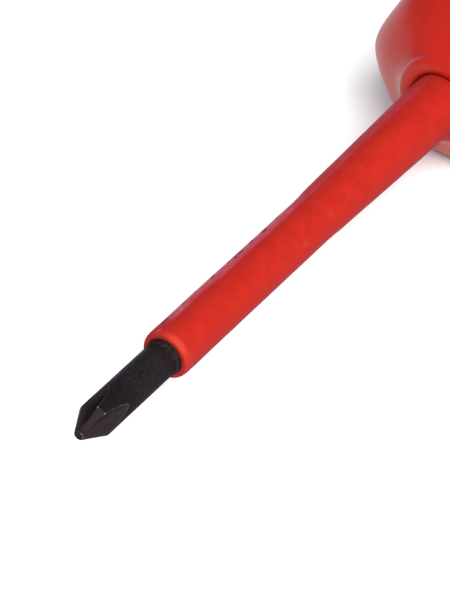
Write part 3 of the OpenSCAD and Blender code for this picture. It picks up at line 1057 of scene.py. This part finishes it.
def make_finger_ring():
    """The soft ring behind the guard, with shallow round grooves."""
    low, high = span("finger_grip")

    def grip_ring(x, depth=0.0):
        share = (x - low) / (high - low)
        wave = abs(math.sin(math.pi * GROOVES * share))
        away = smooth_step(*GROOVE_FADE, share) * smooth_step(*GROOVE_FADE, 1 - share)
        groove = GROOVE_DEPTH * (1 - wave ** GROOVE_SHARPNESS) * away
        return ring(x, shell_radius(x, RING_ROLLS) + PAD_PROUD - groove - depth)

    rings = [ring(low, FINGER_FLOOR)]
    rings += edge_rings(low, -1, grip_ring)[::-1]
    rings += [grip_ring(x) for x in np.linspace(low + GRIP_CLEAR, high - GRIP_CLEAR, GRIP_RINGS)]
    rings += edge_rings(high, 1, grip_ring)
    rings += [ring(high, FINGER_FLOOR), ring(low, FINGER_FLOOR)]
    skin = Skin()
    skin.sheet(np.stack(rings), wrap=True)
    skin.build("finger_ring", "finger_grip", "grip_black")


# ---- End cap and disc ----

SPIGOT_R = 6.0
SPIGOT_LEN = 6.0
HOLE_PLACE = 10.2
HOLE_R = 2.5
HOLE_STEPS = (18, SECTOR_STEPS)
# Where the hole's window starts and ends, from the cap's front, and the flats without a hole
HOLE_ZONE = (5.8, 14.6)
PLAIN_FLATS = (1, 2, 4, 5)
# Rings in front of that stretch and behind it
CAP_FRONT_RINGS = 9
CAP_REAR_RINGS = 16
DISC_R = 4.6
DISC_T = 1.2
# The disc's seat in the cap's end: radius, and distance in front of the end
DISC_SEAT = [(5.3, 0), (4.85, 0.02), (4.7, 0.1), (DISC_R, 0.25), (DISC_R, DISC_T), (0, DISC_T)]
# The disc's clearance in its seat, and how its edge rounds down
DISC_GAP = 0.05
DISC_EDGE = 0.3
DISC_DROP = 0.18
CROSS_LEN = 5.6
CROSS_W = 1.3
CROSS_H = 0.3
CROSS_SLOPE = 0.1
# The disc's columns and rings, crowded over its edge
DISC_COLUMNS = 192
DISC_RINGS = 64
DISC_EDGE_RINGS = 5
DISC_EDGE_START = 0.2


def cap_ring(x, depth=0.0):
    """A ring this deep below the cap's outside."""
    return ring(x, cap_radius(x, RING_ROLLS) - depth)


def make_cap():
    """The cap: rings before and behind the hole's stretch, its six flats there, and the hole."""
    start, end = span("end_cap")
    length = end - start
    zone_low, zone_high = start + HOLE_ZONE[0], start + HOLE_ZONE[1]
    skin = Skin()
    front = [ring(start + SPIGOT_LEN, 0), ring(start + SPIGOT_LEN, SPIGOT_R), ring(start, SPIGOT_R)]
    front += edge_rings(start, -1, cap_ring)[::-1]
    front += [cap_ring(x) for x in np.linspace(start + LIP_CLEAR, zone_low, CAP_FRONT_RINGS)]
    skin.sheet(np.stack(front), wrap=True)
    steep = (1 - ((zone_high - start) / length) ** CAP_POWER) ** CAP_ROUND
    rear = []
    for share in np.linspace(steep, 0, CAP_REAR_RINGS):
        x = start + length * (1 - share ** (1 / CAP_ROUND)) ** (1 / CAP_POWER)
        rear.append(cap_ring(x))
    rear += [ring(end - back, radius) for radius, back in DISC_SEAT]
    skin.sheet(np.stack(rear), wrap=True)
    hole_x = start + HOLE_PLACE
    hole = framed_opening(hole_x, 0, HOLE_R, zone_low, zone_high, HOLE_STEPS, cap_radius)
    loops = [at_roll(x, turn, cap_radius(x, turn) - depth) for x, turn, depth in hole]
    top = np.stack([close_loop(loop) for loop in loops])
    upside_down = np.array([1, 1, -1])
    skin.sheet(top)
    skin.sheet(top * upside_down)
    skin.sheet(np.stack([top[-1], top[-1] * upside_down]))
    places = np.linspace(zone_low, zone_high, HOLE_STEPS[0] + 1)
    turns = np.linspace(-LOBE_STEP / 2, LOBE_STEP / 2, SECTOR_STEPS + 1)
    for k in PLAIN_FLATS:
        rows = [at_roll(x, LOBE_STEP * k + turns, cap_radius(x, turns)) for x in places]
        skin.sheet(np.stack(rows))
    skin.build("cap_skin", "end_cap", "cap_black")


def make_disc():
    """The coloured disc with its raised cross, as rings of points whose height follows the cross."""
    end = span("end_cap")[1]
    rim = DISC_R - DISC_GAP
    edge = rim - DISC_EDGE_START * np.linspace(0.9, 0, DISC_EDGE_RINGS) ** 2
    roll = np.linspace(0, 360, DISC_COLUMNS, endpoint=False)
    rows = []
    for radius in np.concatenate([np.linspace(0, rim - DISC_EDGE_START, DISC_RINGS), edge]):
        a = np.abs(radius * np.sin(np.radians(roll)))
        b = np.abs(radius * np.cos(np.radians(roll)))
        bar_a = np.maximum(a - CROSS_LEN / 2, b - CROSS_W / 2)
        bar_b = np.maximum(b - CROSS_LEN / 2, a - CROSS_W / 2)
        raised = smooth_step(CROSS_SLOPE, -CROSS_SLOPE, np.minimum(bar_a, bar_b))
        drop = DISC_DROP * smooth_step(rim - DISC_EDGE, rim, radius)
        rows.append(at_roll(end - CROSS_H * (1 - raised) - drop, roll, radius))
    rows += [at_roll(end - DISC_T, roll, rim), at_roll(end - DISC_T, roll, 0)]
    skin = Skin()
    skin.sheet(np.stack(rows), wrap=True)
    skin.build("disc_skin", "size_disc", "disc_yellow")


# ---- Floor and light ----

FLOOR_SIZE = 3.0
PAPER_GREY = shade(0.93, 0.93, 0.93)
PAPER_WHITE = shade(0.95, 0.95, 0.95)
LIGHT_TARGET = (0.05, 0, 0)
WORLD_STRENGTH = 0.5
# Soft lights: place, size, power and colour
LIGHTS = {
    "key": ((-1.0, -1.35, 1.75), (1.6, 1.6), 117, (1, 1, 1)),
    "back": ((1.65, 2.25, 0.36), (3.6, 1.05), 20, (0.45, 0.4, 1.0))}


def make_floor():
    """A sheet of pale paper under the tool."""
    paint = Paint("floor_paper")
    material = paint.finish(
        Base_Color=paint.mix(paint.noise(60, detail=2), PAPER_GREY, PAPER_WHITE),
        Roughness=0.8)
    half = FLOOR_SIZE / 2
    mesh = bpy.data.meshes.new("floor")
    corners = [(-half, -half, 0), (half, -half, 0), (half, half, 0), (-half, half, 0)]
    mesh.from_pydata(corners, [], [(0, 1, 2, 3)])
    mesh.materials.append(material)
    floor = bpy.data.objects.new("floor", mesh)
    floor.location = (0, 0, cad_low.z)
    bpy.context.scene.collection.objects.link(floor)


def add_light(name, place, size, power, colour):
    """A soft rectangular light that points at the tool."""
    data = bpy.data.lights.new(name, "AREA")
    data.shape = "RECTANGLE"
    data.size, data.size_y = size
    data.energy = power
    data.color = colour
    light = bpy.data.objects.new(name, data)
    light.location = place
    light.rotation_mode = "QUATERNION"
    light.rotation_quaternion = (Vector(LIGHT_TARGET) - Vector(place)).to_track_quat("-Z", "Y")
    bpy.context.scene.collection.objects.link(light)


def make_light():
    """A white studio: a key light over the tip's side, and a low bluish one behind."""
    world = bpy.data.worlds.new("studio")
    world.use_nodes = True
    background = world.node_tree.nodes["Background"]
    background.inputs["Color"].default_value = shade(1.0, 1.0, 1.0)
    background.inputs["Strength"].default_value = WORLD_STRENGTH
    bpy.context.scene.world = world
    for name, settings in LIGHTS.items():
        add_light(name, *settings)


make_blade()
make_seal()
make_sleeve()
make_shell()
for number in range(1, LOBES + 1):
    make_pad(number)
make_finger_ring()
make_cap()
make_disc()
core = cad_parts["handle_core"]
core.data.materials.clear()
core.data.materials.append(MATERIALS["core_grey"])
make_floor()
make_light()
bpy.context.scene.view_settings.view_transform = "Standard"
